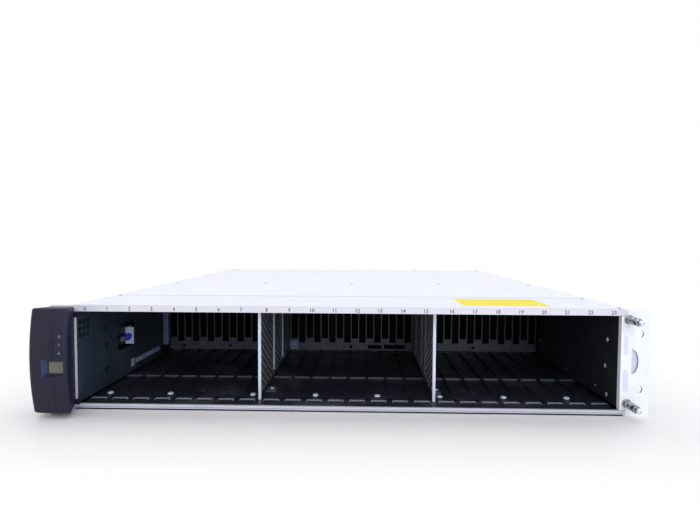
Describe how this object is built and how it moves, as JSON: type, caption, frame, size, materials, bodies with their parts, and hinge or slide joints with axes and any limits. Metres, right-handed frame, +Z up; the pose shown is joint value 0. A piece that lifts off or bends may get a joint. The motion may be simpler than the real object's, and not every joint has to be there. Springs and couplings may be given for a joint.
{
  "type": "disk shelf enclosure",
  "caption": "Two-unit rack disk shelf with numbered open drive bays, perforated dividers, rack ears, an end cap, I/O modules and power supplies with cam levers.",
  "frame": {"origin": "middle of the four rack holes, at the front face of the ears", "axes": "+X to the right seen from the front, +Y into the shelf, +Z up"},
  "size_m": [0.4833, 0.5207, 0.0855],
  "materials": {
    "zinc_steel": "satin",
    "white_steel": "satin",
    "black_steel": "satin",
    "blue_grey_steel": "satin",
    "stud_steel": "polished",
    "purple_plastic": "matte",
    "window_plastic": "gloss",
    "blue_knob": "gloss",
    "board": "satin",
    "connector": "satin",
    "display": "gloss",
    "lever_plastic": "matte",
    "fan_plastic": "matte"
  },
  "bodies": {
    "chassis": {"chassis_tray": "zinc_steel", "front_plate": "white_steel", "rear_cover": "white_steel", "ear_left": "zinc_steel", "ear_right": "zinc_steel", "ball_studs": "stud_steel", "floor_guide_front": "black_steel", "floor_guide_rear": "black_steel", "ceiling_guide": "black_steel", "divider_left": "zinc_steel", "divider_right": "zinc_steel", "liner_left": "blue_grey_steel", "liner_right": "black_steel", "wall_flange": "blue_grey_steel", "latch_bracket": "zinc_steel", "stiffener": "black_steel", "midplane_board": "board", "drive_connectors": "connector", "module_connectors": "connector", "rear_partition_left": "zinc_steel", "rear_partition_right": "zinc_steel", "module_shelf": "zinc_steel"},
    "end_cap": {"end_cap": "purple_plastic", "display_window": "window_plastic", "digit_display": "display", "operator_board": "board"},
    "latch_knob": {"latch_knob": "blue_knob"},
    "module_lower": {"module_case_lower": "zinc_steel", "module_panel_lower": "zinc_steel"},
    "module_lever_lower": {"module_lever_lower": "lever_plastic"},
    "module_upper": {"module_case_upper": "zinc_steel", "module_panel_upper": "zinc_steel"},
    "module_lever_upper": {"module_lever_upper": "lever_plastic"},
    "supply_left": {"supply_case_left": "zinc_steel", "supply_panel_left": "zinc_steel", "supply_inlet_left": "fan_plastic"},
    "supply_lever_left": {"supply_lever_left": "lever_plastic"},
    "supply_fan_left": {"supply_fan_left": "fan_plastic"},
    "supply_rocker_left": {"supply_rocker_left": "fan_plastic"},
    "supply_bail_left": {"supply_bail_left": "stud_steel"},
    "supply_right": {"supply_case_right": "zinc_steel", "supply_panel_right": "zinc_steel", "supply_inlet_right": "fan_plastic"},
    "supply_lever_right": {"supply_lever_right": "lever_plastic"},
    "supply_fan_right": {"supply_fan_right": "fan_plastic"},
    "supply_rocker_right": {"supply_rocker_right": "fan_plastic"},
    "supply_bail_right": {"supply_bail_right": "stud_steel"}
  },
  "joints": [
    {"name": "end_cap_pull", "type": "slide", "parent": "chassis", "child": "end_cap", "axis": [0, -1, 0], "range_m": [0, 0.06]},
    {"name": "latch_knob_turn", "type": "hinge", "parent": "chassis", "child": "latch_knob", "pos_m": [-0.2184, 0.088, -0.00093], "axis": [0, 1, 0], "continuous": true},
    {"name": "module_lower_slide", "type": "slide", "parent": "chassis", "child": "module_lower", "axis": [0, 1, 0], "range_m": [0, 0.27]},
    {"name": "module_lever_lower_swing", "type": "hinge", "parent": "module_lower", "child": "module_lever_lower", "pos_m": [-0.09649, 0.4875, -0.03533], "axis": [0, 0, 1], "range_deg": [0, 80]},
    {"name": "module_upper_slide", "type": "slide", "parent": "chassis", "child": "module_upper", "axis": [0, 1, 0], "range_m": [0, 0.27]},
    {"name": "module_lever_upper_swing", "type": "hinge", "parent": "module_upper", "child": "module_lever_upper", "pos_m": [-0.09649, 0.4875, 0.00683], "axis": [0, 0, 1], "range_deg": [0, 80]},
    {"name": "supply_left_slide", "type": "slide", "parent": "chassis", "child": "supply_left", "axis": [0, 1, 0], "range_m": [0, 0.27]},
    {"name": "supply_lever_left_swing", "type": "hinge", "parent": "supply_left", "child": "supply_lever_left", "pos_m": [-0.11569, 0.4875, 0.02917], "axis": [0, 0, -1], "range_deg": [0, 80]},
    {"name": "supply_fan_left_spin", "type": "hinge", "parent": "supply_left", "child": "supply_fan_left", "pos_m": [-0.1898, 0.473, -0.00108], "axis": [0, 1, 0], "continuous": true},
    {"name": "supply_rocker_left_tilt", "type": "hinge", "parent": "supply_left", "child": "supply_rocker_left", "pos_m": [-0.13379, 0.4815, 0.00517], "axis": [0, 0, 1], "range_deg": [-14, 0]},
    {"name": "supply_bail_left_swing", "type": "hinge", "parent": "supply_left", "child": "supply_bail_left", "pos_m": [-0.13379, 0.485, -0.00732], "axis": [1, 0, 0], "range_deg": [0, 120]},
    {"name": "supply_right_slide", "type": "slide", "parent": "chassis", "child": "supply_right", "axis": [0, 1, 0], "range_m": [0, 0.27]},
    {"name": "supply_lever_right_swing", "type": "hinge", "parent": "supply_right", "child": "supply_lever_right", "pos_m": [0.2138, 0.4875, 0.02917], "axis": [0, 0, -1], "range_deg": [0, 80]},
    {"name": "supply_fan_right_spin", "type": "hinge", "parent": "supply_right", "child": "supply_fan_right", "pos_m": [0.13969, 0.473, -0.00108], "axis": [0, 1, 0], "continuous": true},
    {"name": "supply_rocker_right_tilt", "type": "hinge", "parent": "supply_right", "child": "supply_rocker_right", "pos_m": [0.1957, 0.4815, 0.00517], "axis": [0, 0, 1], "range_deg": [-14, 0]},
    {"name": "supply_bail_right_swing", "type": "hinge", "parent": "supply_right", "child": "supply_bail_right", "pos_m": [0.1957, 0.485, -0.00732], "axis": [1, 0, 0], "range_deg": [0, 120]}
  ]
}
